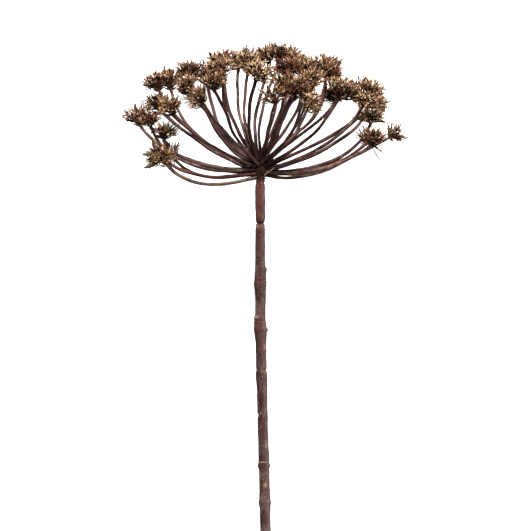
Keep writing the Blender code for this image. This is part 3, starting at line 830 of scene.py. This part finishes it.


# --- umbellets

# Each umbellet, where it isn't the usual: how many fruits, its half width, height to the top, how
# far the rim lies below the top, how far round the crown goes (open, degrees from the axis), how
# straw-gold it is (kind, 0 dark brown to 1 gold), how much paler its seeds are on top of the
# painted light on them (paleness), how loose it is, how long its seeds are and their half width
# (fat), how many awns stand out from it, and how far past the seeds they reach.
USUAL_UMBELLET = dict(
    fruits=64, wide=5.8, tall=6.9, drop=3.7, open=84, kind=0.6, paleness=0, loose=0.18, long=3.2,
    fat=0.27, awns=52, past=3.5,
)
SPARSE = dict(
    fruits=26, wide=5.6, tall=7, drop=4.2, loose=0.16, long=4.4, fat=0.28, awns=48, past=4
)
HIDDEN = dict(fruits=40, wide=4.6, open=66)
UMBELLET_LOOKS = {
    1: dict(
        SPARSE, fruits=30, wide=6.6, tall=9, drop=5.2, kind=0.3, past=4.4, awns=44, long=5.2,
        fat=0.25,
    ),
    2: dict(wide=5, tall=5.8, kind=0.3),
    3: dict(kind=0.15, loose=0.22, tall=7.6, wide=5.3),
    4: dict(kind=0.75, loose=0.2, tall=7.7),
    5: dict(kind=0.8, wide=5.2),
    6: dict(
        SPARSE, fruits=30, kind=0.6, paleness=0.5, wide=6.2, tall=7.2, awns=22, long=4.8, fat=0.27
    ),
    7: dict(kind=0.5, paleness=0.25, loose=0.2, wide=5.4, open=74, drop=3, fruits=40, long=3.9),
    8: dict(SPARSE, fruits=6, kind=0.5, tall=7.2, wide=4.6, open=60, awns=14),
    9: dict(kind=0.8, paleness=0.4, wide=4.8, open=74, fruits=44, long=3.8, loose=0.2),
    10: dict(kind=0.08, paleness=-0.2, tall=9.4, drop=4.6, fruits=70),
    11: dict(kind=0.2, loose=0.2, tall=8, fruits=70),
    12: dict(kind=0.8, wide=5.2, drop=3, open=70),
    13: dict(
        kind=0.75, paleness=0.1, wide=4.8, tall=7.4, drop=3.6, open=74, past=4.4, fruits=46, long=4.2
    ),
    14: dict(kind=0, paleness=-0.3, wide=5.6, tall=8.2, open=76),
    15: dict(kind=0.45),
    16: dict(kind=0.45, paleness=-0.1, wide=6.4, tall=7.2, drop=4, loose=0.2, past=3.8, fruits=72),
    17: dict(kind=0.75, wide=6.6, fruits=74, drop=3.2, open=78),
    18: dict(kind=0.45, tall=7.3, wide=6.2, fruits=70),
    19: dict(kind=0.9, paleness=0.3, wide=6.4, tall=8.3, drop=4.6, fruits=76),
    20: dict(kind=1, paleness=0.35, wide=7.2, fruits=92),
    21: dict(kind=0.95, paleness=0.3, loose=0.2, tall=7.3),
    22: dict(kind=0.8, paleness=0.25, loose=0.22, tall=6.7, past=4.2, awns=40),
    23: dict(kind=0.55, loose=0.22),
    24: dict(kind=0, paleness=-0.6, fruits=88, wide=6.2, drop=5.4, open=98),
    25: dict(kind=0.7, wide=6.4, tall=7.6, fruits=76),
    26: dict(kind=0.85, tall=7.8, drop=6, wide=6.6, fruits=84, open=94),
    27: dict(kind=0.55, loose=0.22, tall=7, wide=5.9, past=4.6, awns=56, fruits=69),
    28: dict(kind=0.4, wide=4.9),
    29: dict(kind=0.95, paleness=0.3, tall=8.6, drop=4.8, fruits=74),
    30: dict(kind=0.85, paleness=0.3, wide=5, tall=7.7, drop=4.6, fruits=66),
    31: dict(kind=0.3, paleness=-0.1, wide=5.4, tall=8.6, drop=5.6, fruits=76),
    32: dict(SPARSE, fruits=22, kind=0.5, wide=6.2, drop=4.8, past=4.2, awns=74, long=3.4),
    33: dict(kind=1, paleness=0.6, loose=0.2, tall=7, wide=4.8, fruits=58),
    34: dict(kind=0.2, wide=5.8, tall=7.6, drop=2.9, open=62),
    35: dict(kind=0.6, paleness=0.2, wide=7.2, tall=8.2, drop=2.8, open=62, fruits=79),
    36: dict(kind=0.4, loose=0.2, wide=6.4, tall=8.6, drop=3.2, fruits=74),
    37: dict(kind=0.95, paleness=0.1, wide=5.6, tall=7.1, drop=3.2, open=76, fruits=74),
    38: dict(kind=0.7, wide=5.2, tall=4.6, drop=4.2, open=88, fruits=60),
    39: dict(kind=0.75, paleness=0.4, wide=4.8, tall=8, drop=3.2, open=74, past=4.2, fruits=64),
    40: dict(kind=0.95, paleness=0.5, wide=6, tall=5.8, drop=4.6, open=88, fruits=74),
    41: dict(kind=0.2, paleness=0.3, wide=5.2, tall=7.4, drop=4.4, open=74, awns=60, past=4),
    42: dict(HIDDEN, wide=3.6, kind=0.2),
    43: dict(
        SPARSE, fruits=18, wide=4.4, tall=6.4, drop=3.4, kind=0.6, awns=28, fat=0.24, long=3.8
    ),
    44: dict(HIDDEN, wide=4, open=52, drop=2.4, kind=0.4),
    45: dict(HIDDEN, kind=0.1, tall=10, wide=5.6, fruits=60),
    46: dict(HIDDEN, kind=0.2, tall=9, wide=5.2, fruits=52),
}

# Bracts and stray bristles that stand out, for each umbellet: where the tip lies from its foot
# (across, up, front), its thickness, and, where they aren't the usual, how pale and how
# grey-green it is.
USUAL_STRAY = (0.1, 0.1)
STRAYS = {
    1: [(-9, 3.6, 1, 0.4, 0.2, 0.2), (-7.4, 6.4, 1, 0.4, 0.2, 0.2), (-4.6, 8.2, 0.8, 0.4),
        (-2.4, 9.7, 0.8, 0.72, 0.1, 0.5), (0.3, 9.4, 0.8, 0.42), (3, 9.1, 0.8, 0.4),
        (-3.6, 0.1, 1.5, 0.22, 0.2, 0)],
    3: [(1.4, 9.2, 0, 0.34, 0, 0.1), (2.9, 8.4, -0.5, 0.36), (4.2, 6.4, 0, 0.34, 0, 0.1),
        (2.2, 7.2, 0.5, 0.4, 0, 0.1)],
    4: [(-7.4, 2, 1, 0.75, 0.1, 0.7)],
    5: [(2.5, 8.2, 1, 0.34, 0.2, 0.2)],
    6: [(-0.6, 8.2, 0.5, 0.36, 0.3, 0.1), (2.2, 7.8, 0.5, 0.36, 0.35, 0.1),
        (4.6, 7, 0.5, 0.34, 0.3, 0.1), (-2.6, 7.4, 2, 0.36, 0.3, 0), (0.9, 6.8, 2.5, 0.36, 0.35, 0),
        (3.4, 5.4, 2.5, 0.36, 0.3, 0), (-4.6, 1.5, 0.5, 0.55, 0, 0), (-3.6, 0, 0.5, 0.45, 0, 0)],
    7: [(-8.3, -4.6, 5.5, 1.05, 0, 0.75), (-9, 1, 4.5, 1, 0, 0.75),
        (-7.2, -1.4, 1.2, 0.6, 0.1, 0.2), (-6, -4.4, 1, 0.4, 0, 0.3)],
    8: [(3.6, 7.2, 0.5, 0.34, 0.25, 0.1), (5.2, 5.8, 0.5, 0.32, 0.3, 0.1),
        (1.9, 7.4, 0.5, 0.34, 0.2, 0.1), (4.4, 4.2, 0.5, 0.32, 0.3, 0.1)],
    11: [(-4.7, 5.6, 0.5, 0.36, 0, 0.1), (-4.2, 4.2, 0.5, 0.34), (1.2, 7, 0.5, 0.34),
        (4.4, 7.8, 0.5, 0.36)],
    13: [(-7.6, 2.2, 1.2, 0.3, 0.3, 0.2), (-7.3, 0.6, 1.8, 0.28, 0.6, 0.2),
        (-5.8, -1.5, 1.2, 0.28, 0.7, 0.1), (-6.8, 3.6, 1, 0.26, 0.3, 0.2), (-2.6, 8.4, 0.5, 0.32),
        (-1, 8.7, 0.5, 0.34, 0, 0.1), (0.6, 7.8, 0.5, 0.34)],
    15: [(7.1, 8, -1, 0.34), (6.5, 5.2, -0.5, 0.32, 0.2, 0.1), (5.8, 3.2, 0, 0.32)],
    16: [(-6.2, 6.6, 1, 0.5, 0.1, 0.2), (-5, 5.6, 1, 0.46, 0, 0), (-3.4, 6.6, 0.5, 0.36, 0.1, 0),
        (0.4, 7.2, 0.5, 0.42, 0.1, 0)],
    19: [(-0.8, 8.5, 0.5, 0.36, 0.3, 0.1), (2.7, 8.1, 0.5, 0.36, 0.3, 0.1)],
    21: [(-5.8, 6.8, 1, 0.5, 0.2, 0.3), (-4, 6.4, 1, 0.4)],
    22: [(0.8, 8, 0.5, 0.36)],
    23: [(-1.4, 8.2, 0.5, 0.34), (0.3, 8.7, 0.5, 0.36, 0.2, 0.1), (3.4, 5.4, 0.5, 0.36)],
    24: [(-4.8, 5, 0.5, 0.3), (3, 3, -1.5, 0.6, 0, 0), (4.4, 1.2, -1.5, 0.6, 0, 0),
        (4.2, -0.4, -1, 0.5, 0, 0), (-4.6, 1, -1.5, 0.5, 0, 0)],
    27: [(8.2, 6.2, 0.5, 0.48), (9, 4.4, 0, 0.46), (6.2, 6.8, 0.5, 0.44),
        (7.4, 5.4, 0.2, 0.42, 0, 0.1)],
    28: [(-2.9, 1.4, 0.3, 0.5, 0, 0), (-1.4, 1.8, 0.3, 0.5, 0, 0), (-3.8, 0.2, 0.3, 0.42, 0, 0),
        (8.4, 0.6, 0.5, 0.22, 0.5, 0.1)],
    32: [(-6.8, 2.6, 1, 0.3, 0.1, 0), (-5.4, 1, 1, 0.34, 0, 0), (-4.4, 0, 1, 0.3, 0.1, 0),
        (-3, 7.2, 0.5, 0.32, 0.1, 0)],
    35: [(1.6, -2, 0.5, 0.42, 0, 0.1), (-1.7, -1.3, 0.8, 0.36, 0, 0.1)],
    36: [(-3.4, 9.4, 0.5, 0.4, 0.1, 0), (-6.2, 9.2, 0, 0.4, 0, 0), (-7.8, 8.4, 0, 0.38, 0.1, 0),
        (0.6, 8, 0.5, 0.5), (2, 7.2, 0.5, 0.55, 0, 0.1)],
    37: [(-3.6, 6.4, 0.5, 0.5, 0, 0.1), (-2.2, 7.4, 0.5, 0.45), (-1.2, 5.6, 1, 0.5),
        (6.2, 5.6, 0.5, 0.42, 0.3, 0.1), (5, 6.6, 0.5, 0.42, 0.2, 0.1)],
    38: [(-4.8, -0.4, 1, 0.18, 0.4, 0.2)],
    39: [(9.8, 2.8, 0.5, 0.48), (9.2, 4, 0.5, 0.42), (9, 1.9, 1, 0.42, 0.2, 0.1),
        (8.6, 1.2, 0.5, 0.38), (8.2, 0, 0.8, 0.3, 0.2, 0.1), (7.4, 4.2, 0.5, 0.36),
        (-0.4, -0.6, 1.5, 0.45, 0.1, 0)],
    40: [(-1.6, 6.2, 0.5, 0.55, 0.1, 0), (0.6, 6.6, 0.5, 0.5, 0.1, 0), (6.1, -0.1, 0.8, 0.85, 0, 0),
        (4.4, 0.6, 0.8, 0.6, 0, 0)],
    41: [(4.4, -7.2, 0.8, 0.27, 0.3, 0.1), (7.6, -3.8, 0.6, 0.27, 0.5, 0.1),
        (6.6, -5.2, 1.2, 0.26, 0.5, 0.1), (6.8, -2.2, 0.6, 0.28, 0.45, 0.1),
        (5.6, -4.4, 1.6, 0.26, 0.45, 0.1), (-6, 8.8, 0.6, 0.32, 0.15, 0.1),
        (-5, 7.4, 1.2, 0.3, 0.2, 0.1), (-4.2, 9.6, 0.2, 0.34), (-2.8, 10.6, 0.2, 0.32),
        (-5.6, 5.4, 0.8, 0.28, 0.2, 0.1)],
    43: [(-1.2, 7.7, 0.5, 0.38), (-0.8, 5.2, 1, 0.34), (1.2, 7.8, 0.5, 0.42), (3.3, 6.7, 0.5, 0.42),
        (4.3, 4.6, 0.5, 0.4), (5.2, -1, 0.8, 0.42, 0.2, 0), (6.4, 1.4, 1.2, 0.55, 0.2, 0),
        (7.8, 0.3, 0.8, 0.65, 0.3, 0.1)],
}

# Pairs below are the ends between which a value varies from bit to bit.
PEDICEL_SPREAD = 0.30  # how far from the foot's middle the pedicels start
BRACTS = 7
BRACT_REACH = (2.6, 4.6)  # how long they are
BRACT_RISE, BRACT_SAG = (0.15, 0.9), (-0.15, 0.2)  # how far the tip and the middle bend upwards
HUSKS_APART = 0.16  # how far a husk's foot stands from its fruit's middle
HUSK_SPLAY = (0.14, 0.34)  # how far a husk leans away from the other
BRISTLES = 3  # on each husk
BRISTLE_FROM, BRISTLE_SPLAY = (0.30, 0.86), (0.3, 0.95)  # where along it, and how far they lean out
BRISTLE_REACH = (0.5, 1.2)  # how long they are, in millimetres on a husk of 3 mm
BRISTLE_FAN = 1.9  # how far round a husk its bristles stand from its outer side
AWN_LEAN = 0.22  # how far awns stray from the way of their seed
AWN_ROOT = 0.7  # how far below its tip a seed's awn starts, as a share of its length
FLOOR_CLEAR = 0.12  # nothing of an umbellet lies lower than this
STRAGGLERS = 0.2  # share of the fruits that stand out from the crown
PAINTED_LIGHT_WAY = unit(UP + 0.6 * FRONT - 0.5 * ACROSS)  # seeds facing this way get a painted highlight, paler and more golden; those facing away painted shade

# Radii along each kind of bit, from its foot; the husk's and the stray's are shares of a width.
HUSK_LEVELS = np.array([0.0, 0.25, 0.55, 0.8, 1.0])
HUSK_PROFILE = np.array([0.30, 0.85, 1.0, 0.55])
BRISTLE_PROFILE = [[0.10]]
BRISTLE_MASK = [0.3, 0.3, 0.3, 0.3, 1.0]  # how dark its corners and its tip are
AWN_PROFILE = [[0.15, 0.18, 0.14]]
PEDICEL_PROFILE = np.array([0.26, 0.24, 0.23, 0.25])
BRACT_PROFILE = [0.34, 0.36, 0.30, 0.22, 0.12]
STRAY_PROFILE = np.array([0.8, 0.95, 1.0, 1.0, 0.95, 0.85, 0.6])


def fruit_places(ray, look):
    """Where each fruit's tip stands, the way it points and its length.

    Fruit k of n stands at the golden angle times k round the axis and at an angle t from it,
    cos t = 1 - s (1 - cos open) for s = (k + 1/2)/n. Its tip lies sin t of the half width out,
    and below the top by the drop times s. It points away from just above the foot, with a
    random lean.
    """
    count = look["fruits"]
    share = (np.arange(count) + 0.5) / count
    tilt = np.arccos(1 - share * (1 - math.cos(math.radians(look["open"]))))
    turn = np.arange(count) * GOLDEN_ANGLE + ray.random.uniform(0, 6.3)
    turn = turn + ray.random.normal(0, 0.12, count)
    out = look["wide"] * np.sin(tilt) * (1 + ray.random.normal(0, look["loose"] * 0.45, count))
    out = out * (1 + 0.08 * np.cos(3 * turn + ray.index) + 0.05 * np.cos(5 * turn + 2 * ray.index))
    height = look["tall"] - look["drop"] * share
    height = height + ray.random.normal(0, look["loose"] * 3.0, count)
    tips = ray.foot + np.outer(height, ray.axis) + ray.outward(turn, out)
    lean = ray.random.normal(0, look["loose"], (count, 3))
    ways = unit(unit(tips - ray.foot - ray.axis) + lean)
    stands_out = ray.random.uniform(0, 1, count) < STRAGGLERS
    tips = tips + ways * (stands_out * ray.random.uniform(0.6, 2.2, count))[:, None]
    lengths = look["long"] * ray.random.uniform(0.8, 1.15, count)
    return tips, ways, lengths


def lifted(*parts):
    """Rigid bits that would dip under the floor, raised to lie on it with what goes with them."""
    low = np.min([part[..., 2].min(axis=1) for part in parts], axis=0)
    rise = np.maximum(0.0, FLOOR_CLEAR - low)
    return [part + rise[:, None, None] * np.array([0.0, 0.0, 1.0]) for part in parts]


def add_awns(seeds, ray, look, tips, ways, lengths):
    """Long spikes that start among the husks and stand out past them, bending a little."""
    count = look["awns"]
    chosen = ray.random.integers(0, len(tips), count)
    leans = ray.random.normal(0, AWN_LEAN, (count, 3))
    ahead = unit(ways[chosen] + leans)
    start = tips[chosen] - ahead * lengths[chosen, None] * AWN_ROOT
    end = tips[chosen] + ahead * look["past"] * ray.random.beta(1.5, 1.7, (count, 1))
    bend = np.cross(ahead, leans) * 0.6
    middle = 0.5 * (start + end) + bend
    lines = np.stack([start, middle, 0.25 * start + 0.75 * end + 0.8 * bend, end], axis=1)
    awns, faces, share, _ = tubes(lines, AWN_PROFILE, 4)
    pale = np.repeat(0.8 * ray.random.beta(0.7, 1.3, count), awns.shape[1])
    looks = dict(along=share * 0.5 + 0.48, tone=pale, kind=0.4 * look["kind"], bristle=0.45)
    seeds.add(lifted(awns)[0], faces, **looks)


def seed_shapes(ray, look):
    """The umbellet's seeds: each fruit has split in two slim husks, set with bristles.

    A husk is a four-sided spindle with a sharp beak, its half width as in HUSK_PROFILE. Its
    bristles are three-sided spikes that lean out and up. A seed's tone leans bright or dark, and
    it is painted paler and more golden the more it faces the way of the painted light, darker the
    more it faces away: a painted highlight and painted shade. Returns them with where the
    pedicels end and the way they point there.
    """
    tips, ways, lengths = fruit_places(ray, look)
    base = tips - ways * lengths[:, None]
    apart = unit(np.cross(ways, ray.random.normal(0, 1, ways.shape)))
    out = np.concatenate([apart, -apart])
    count = len(out)
    foot = np.tile(base, (2, 1)) + out * HUSKS_APART
    axes = unit(np.tile(ways, (2, 1)) + out * ray.random.uniform(*HUSK_SPLAY, (count, 1)))
    size = np.tile(lengths, 2) * ray.random.uniform(0.86, 1.06, count)
    paths = foot[:, None] + (axes * size[:, None])[:, None] * HUSK_LEVELS[:, None]
    half = look["fat"] * ray.random.uniform(0.8, 1.2, count)
    husks, husk_faces, _, _ = tubes(paths, half[:, None] * HUSK_PROFILE, 4, flat=0.85)

    rows = (count, BRISTLES)
    side = np.cross(axes, out)
    angle = np.linspace(-BRISTLE_FAN, BRISTLE_FAN, BRISTLES) + ray.random.uniform(-0.4, 0.4, rows)
    outward = np.cos(angle)[..., None] * out[:, None] + np.sin(angle)[..., None] * side[:, None]
    along = ray.random.uniform(*BRISTLE_FROM, rows)
    start = foot[:, None] + axes[:, None] * (size[:, None] * along)[..., None]
    start = start + outward * (half * 0.5)[:, None, None]
    splay = ray.random.uniform(*BRISTLE_SPLAY, (*rows, 1))
    reach = ray.random.uniform(*BRISTLE_REACH, (*rows, 1)) * (size / 3.0)[:, None, None]
    end = start + unit(axes[:, None] + outward * splay) * reach
    spike_paths = np.stack([start, end], axis=2).reshape(-1, 2, 3)
    spikes, spike_faces, _, _ = tubes(spike_paths, BRISTLE_PROFILE, 3)

    husks, spikes = lifted(husks, spikes.reshape(count, -1, 3))
    # painted light: seeds are painted paler and more golden facing up, front and left, and darker
    # facing away, shifted by the umbellet's own paleness
    paleness = axes @ PAINTED_LIGHT_WAY + look["paleness"]
    tone = ray.random.beta(0.5, 0.46, count) * (0.6 + 0.4 * smooth_step(paleness + 0.5))
    kind = look["kind"] + 0.35 * (paleness - 0.3) + ray.random.normal(0, 0.28, count)
    kind = np.clip(kind, 0, 1)
    seeds = Shape()
    husk_along = np.append(np.repeat(HUSK_LEVELS[:-1], 4), [0.0, 1.0])
    spike_along = np.repeat(along.ravel(), spikes.shape[1] // BRISTLES) + 0.25
    for bits, faces, share, bristle in (
        (husks, husk_faces, husk_along, 0.0),
        (spikes, spike_faces, spike_along, BRISTLE_MASK),
    ):
        tones, kinds = np.repeat(tone, bits.shape[1]), np.repeat(kind, bits.shape[1])
        seeds.add(bits, faces, along=share, tone=tones, kind=kinds, bristle=bristle)
    add_awns(seeds, ray, look, tips, ways, lengths)
    return seeds, base, ways


def umbellet_pieces(ray):
    """One umbellet: its seeds, and the pedicels, bracts and stray bristles below them.

    Pedicels are quadratic curves that leave the foot nearly along the axis and end along their
    fruit. Bracts are flat blades spread evenly round the foot. Strays are single blades from the
    foot to the tips in STRAYS, each bent a little.
    """
    look = {**USUAL_UMBELLET, **UMBELLET_LOOKS.get(ray.index, {})}
    seeds, ends, ways = seed_shapes(ray, look)
    seeds.piece(f"umbellet_{ray.name}_seeds", SEED_HUSK, "seeds", smooth=False)
    stalks = Shape()

    def grow(lines, profile, sides, flat=1.0, pale=0.0, green=0.0):
        """Add tubes along curves with these three control points each."""
        points, faces, share = curved_tubes(np.stack(lines, axis=1), profile, sides, flat)
        stalks.add(lifted(points)[0], faces, along=share, pale=pale, green=green)

    count = len(ends)
    spread = ray.random.normal(0, PEDICEL_SPREAD, (count, 2))
    start = ray.foot + np.outer(spread[:, 0], ray.side) + np.outer(spread[:, 1], ray.over)
    start = start + ray.axis * 0.1
    span = np.linalg.norm(ends - start, axis=1, keepdims=True)
    middle = ends + 0.25 * ways - ways * span * 0.45
    middle = 0.6 * middle + 0.4 * (start + ray.axis * span * 0.5)
    profile = PEDICEL_PROFILE * ray.random.uniform(0.8, 1.2, (count, 1))
    grow([start, middle, ends + ways * 0.5], profile, 4)

    turn = np.arange(BRACTS) * FULL_TURN / BRACTS + ray.random.uniform(0, 6.3)
    flat_way = ray.outward(turn + ray.random.normal(0, 0.2, BRACTS))
    reach = ray.random.uniform(*BRACT_REACH, (BRACTS, 1))
    rise = ray.random.uniform(*BRACT_RISE, (BRACTS, 1))
    sag = ray.random.uniform(*BRACT_SAG, (BRACTS, 1))
    start = ray.foot + flat_way * 0.35
    tip = start + unit(flat_way + ray.axis * rise) * reach
    middle = start + flat_way * reach * 0.55 + ray.axis * reach * sag
    grow([start, middle, tip], BRACT_PROFILE, 4, flat=0.35, pale=0.08, green=0.1)

    for across, up, front, thick, *shades in STRAYS.get(ray.index, []):
        pale, green = shades or USUAL_STRAY
        to_tip = np.array([[across, up, front]]) @ PLANT
        bend = np.cross(unit(to_tip), unit(ray.random.normal(0, 1, 3))) * 0.16
        middle = ray.foot + to_tip * 0.5 + bend * np.linalg.norm(to_tip) + ray.axis * 0.6
        lines = [ray.foot[None], middle, ray.foot + to_tip]
        grow(lines, thick * STRAY_PROFILE, 5, flat=0.7, pale=pale, green=green)
    stalks.piece(f"umbellet_{ray.name}_pedicels", PEDICEL_SKIN, "umbellet")


RAY_COUNT = sum(name.startswith("ray_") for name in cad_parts)
for number in range(1, RAY_COUNT + 1):
    grown = Ray(number)
    stalk_piece(grown)
    umbellet_pieces(grown)

# --- floor, light and camera

VIEW_MIDDLE = (2.3, -39.3, 0.0)  # (across, up, front) from the hub, at the middle of the view
VIEW_FIELD = 223.0
LENS = 400.0
SENSOR = 36.0
FLOOR_HALF = 6.0  # metres
FLOOR_GREY = (0.45, 0.45, 0.45, 1.0)
WHITE = (1.0, 1.0, 1.0, 1.0)
FLOOR_GLOW = 0.97  # what the floor itself sends to the camera, which outshines the shadows on it
ROOM_LIGHT = 0.12  # what the room sends to the plant from every side
SEEN_ROOM = 0.85  # how much brighter the room looks behind the plant
# Each lamp's place and size, in metres, and its power.
LAMPS = {
    "key_light": ((-0.1, 1.6, 1.3), 0.4, 222.0),
    "fill_light": ((1.2, -0.5, 1.4), 1.0, 24.0),
}


def floor_piece():
    """A wide flat sheet at the height that the plant rests on, plain, matt and pale."""
    mesh = bpy.data.meshes.new("floor")
    corners = [(-1, -1, 0), (1, -1, 0), (1, 1, 0), (-1, 1, 0)]
    mesh.from_pydata((np.array(corners) * FLOOR_HALF).tolist(), [], [(0, 1, 2, 3)])
    material, tree, shader = principled("pale_floor", 0.9, 0.2)
    shader.inputs["Base Color"].default_value = FLOOR_GREY
    shader.inputs["Emission Color"].default_value = WHITE
    seen = add(tree, "ShaderNodeLightPath").outputs["Is Camera Ray"]
    tree.links.new(times(tree, seen, FLOOR_GLOW), shader.inputs["Emission Strength"])
    mesh.materials.append(material)
    placed("floor", mesh)


def look_at(thing, place, target):
    """Stand a light or camera at a place, in metres, aimed at the target, the stem upright."""
    back = unit(np.asarray(place) - np.asarray(target))
    right = unit(np.cross(UP, back))
    upward = np.cross(back, right)
    rows = np.column_stack([right, upward, back, place]).tolist()
    thing.matrix_world = Matrix([*rows, [0, 0, 0, 1]])


def soft_light(name, place, size, power):
    """A square lamp that no camera sees, aimed at the head."""
    lamp = bpy.data.lights.new(name, "AREA")
    lamp.size, lamp.energy = size, power
    thing = placed(name, lamp)
    thing.visible_camera = False
    look_at(thing, place, HUB * MM)


def pale_room():
    """A white room that lights the plant a little and looks bright to the camera."""
    world = bpy.data.worlds.new("pale_room")
    world.use_nodes = True
    tree = world.node_tree
    background = tree.nodes["Background"]
    background.inputs[0].default_value = WHITE
    seen = add(tree, "ShaderNodeLightPath").outputs["Is Camera Ray"]
    tree.links.new(plus(tree, times(tree, seen, SEEN_ROOM), ROOM_LIGHT), background.inputs[1])
    bpy.context.scene.world = world
    bpy.context.scene.view_settings.view_transform = "Standard"


def front_camera():
    """A long lens that looks straight at the plant's front, far enough off for its field."""
    lens = bpy.data.cameras.new("front_camera")
    lens.lens, lens.sensor_width = LENS, SENSOR
    lens.clip_start, lens.clip_end = 0.1, 50.0
    camera = placed("front_camera", lens)
    middle = out_of_plant(VIEW_MIDDLE) * MM
    distance = VIEW_FIELD * MM * LENS / SENSOR
    look_at(camera, middle + FRONT * distance, middle)
    bpy.context.scene.camera = camera


floor_piece()
for lamp_name, settings in LAMPS.items():
    soft_light(lamp_name, *settings)
pale_room()
front_camera()
